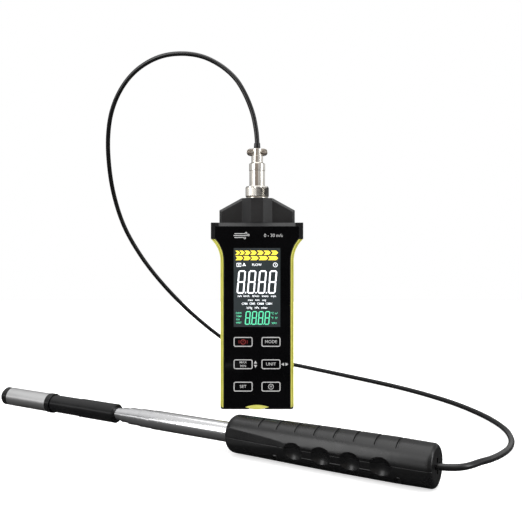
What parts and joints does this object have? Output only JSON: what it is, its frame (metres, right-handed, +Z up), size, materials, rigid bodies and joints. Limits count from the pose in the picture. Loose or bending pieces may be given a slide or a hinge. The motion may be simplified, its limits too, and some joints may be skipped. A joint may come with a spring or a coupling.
{
  "type": "hot-wire anemometer",
  "caption": "Hand-held thermal anemometer: keyed handset with screen, screw-locked plug and cord, and a telescopic probe whose guarded hot-wire tip slides open.",
  "frame": {"origin": "middle of the flat base that the handset stands on", "axes": "+Z up along the handset, -Y out of the screen, +X to the right of someone facing the screen"},
  "size_m": [0.3703, 0.3839, 0.2885],
  "materials": {
    "case_black": "fine satin moulding",
    "panel_black": "high gloss",
    "trim_yellow": "soft satin",
    "screen": "backlit, high gloss",
    "block_grey": "satin moulding",
    "nickel": "polished nickel plate",
    "screw_steel": "machined",
    "insulator": "matte",
    "gold_pin": "gold plate",
    "board": "lacquered",
    "cell": "printed sleeve",
    "cord_black": "semi-gloss sheath",
    "handle_black": "semi-gloss moulding",
    "grommet": "matte",
    "wire": "insulated wire",
    "tube_steel": "polished steel",
    "guide_brass": "turned",
    "head_black": "gloss",
    "guard_silver": "polished",
    "ceramic": "glazed",
    "bead": "glass bead"
  },
  "bodies": {
    "instrument": {"front_shell": "case_black", "rear_shell": "case_black", "left_trim": "trim_yellow", "right_trim": "trim_yellow", "bottom_tab": "trim_yellow", "front_panel": "panel_black", "display_window": "screen", "display_module": "screen", "main_board": "board", "dome_switches": "screw_steel", "connector_block": "block_grey", "housing_screws": "screw_steel", "battery_cells": "cell", "battery_contacts": "screw_steel", "socket_shell": "nickel", "socket_nut": "nickel", "socket_insulator": "insulator", "socket_pins": "gold_pin", "plug_shell": "nickel", "plug_insert": "insulator", "plug_backshell": "nickel", "clamp_bar": "nickel", "clamp_screws": "nickel", "cord_boot": "cord_black", "signal_cord": "cord_black", "handle_upper_shell": "handle_black", "handle_lower_shell": "handle_black", "handle_screws": "screw_steel", "cord_grommet": "grommet", "cord_anchor": "insulator", "lead_coil": "wire", "handle_board": "board", "nose_bush": "insulator", "tube_1": "tube_steel"},
    "key_power_button": {"key_power": "panel_black"},
    "key_mode_button": {"key_mode": "panel_black"},
    "key_range_button": {"key_range": "panel_black"},
    "key_unit_button": {"key_unit": "panel_black"},
    "key_set_button": {"key_set": "panel_black"},
    "key_hold_button": {"key_hold": "panel_black"},
    "door": {"battery_door": "case_black"},
    "ring": {"coupling_ring": "nickel"},
    "section_2": {"tube_2": "tube_steel", "tube_2_guide": "guide_brass"},
    "section_3": {"tube_3": "tube_steel", "tube_3_guide": "guide_brass"},
    "head": {"tube_4": "tube_steel", "tube_4_guide": "guide_brass", "head_body": "head_black", "sensor_frame": "tube_steel", "tip_cap": "head_black", "sensor_carrier": "ceramic", "sensor_prongs": "nickel", "hot_wire_bead": "bead", "temperature_bead": "bead"},
    "guard": {"guard_sleeve": "guard_silver", "guard_grip_ring": "head_black"}
  },
  "joints": [
    {"name": "key_power_press", "type": "slide", "parent": "instrument", "child": "key_power_button", "axis": [0, 1, 0], "range_m": [0, 0.0006], "stiffness_N_per_m": 400, "springref_m": -0.0005},
    {"name": "key_mode_press", "type": "slide", "parent": "instrument", "child": "key_mode_button", "axis": [0, 1, 0], "range_m": [0, 0.0006], "stiffness_N_per_m": 400, "springref_m": -0.0005},
    {"name": "key_range_press", "type": "slide", "parent": "instrument", "child": "key_range_button", "axis": [0, 1, 0], "range_m": [0, 0.0006], "stiffness_N_per_m": 400, "springref_m": -0.0005},
    {"name": "key_unit_press", "type": "slide", "parent": "instrument", "child": "key_unit_button", "axis": [0, 1, 0], "range_m": [0, 0.0006], "stiffness_N_per_m": 400, "springref_m": -0.0005},
    {"name": "key_set_press", "type": "slide", "parent": "instrument", "child": "key_set_button", "axis": [0, 1, 0], "range_m": [0, 0.0006], "stiffness_N_per_m": 400, "springref_m": -0.0005},
    {"name": "key_hold_press", "type": "slide", "parent": "instrument", "child": "key_hold_button", "axis": [0, 1, 0], "range_m": [0, 0.0006], "stiffness_N_per_m": 400, "springref_m": -0.0005},
    {"name": "battery_door_lift", "type": "slide", "parent": "instrument", "child": "door", "axis": [0, 1, 0], "range_m": [0, 0.02]},
    {"name": "coupling_ring_turn", "type": "hinge", "parent": "instrument", "child": "ring", "pos_m": [0, 0, 0.17], "axis": [0, 0, 1], "continuous": true},
    {"name": "tube_2_slide", "type": "slide", "parent": "instrument", "child": "section_2", "axis": [-0.866, 0.5, 0], "range_m": [0, 0.155]},
    {"name": "tube_3_slide", "type": "slide", "parent": "section_2", "child": "section_3", "axis": [-0.866, 0.5, 0], "range_m": [0, 0.155]},
    {"name": "tube_4_slide", "type": "slide", "parent": "section_3", "child": "head", "axis": [-0.866, 0.5, 0], "range_m": [0, 0.155]},
    {"name": "guard_slide", "type": "slide", "parent": "head", "child": "guard", "axis": [0.866, -0.5, 0], "range_m": [0, 0.026]}
  ]
}
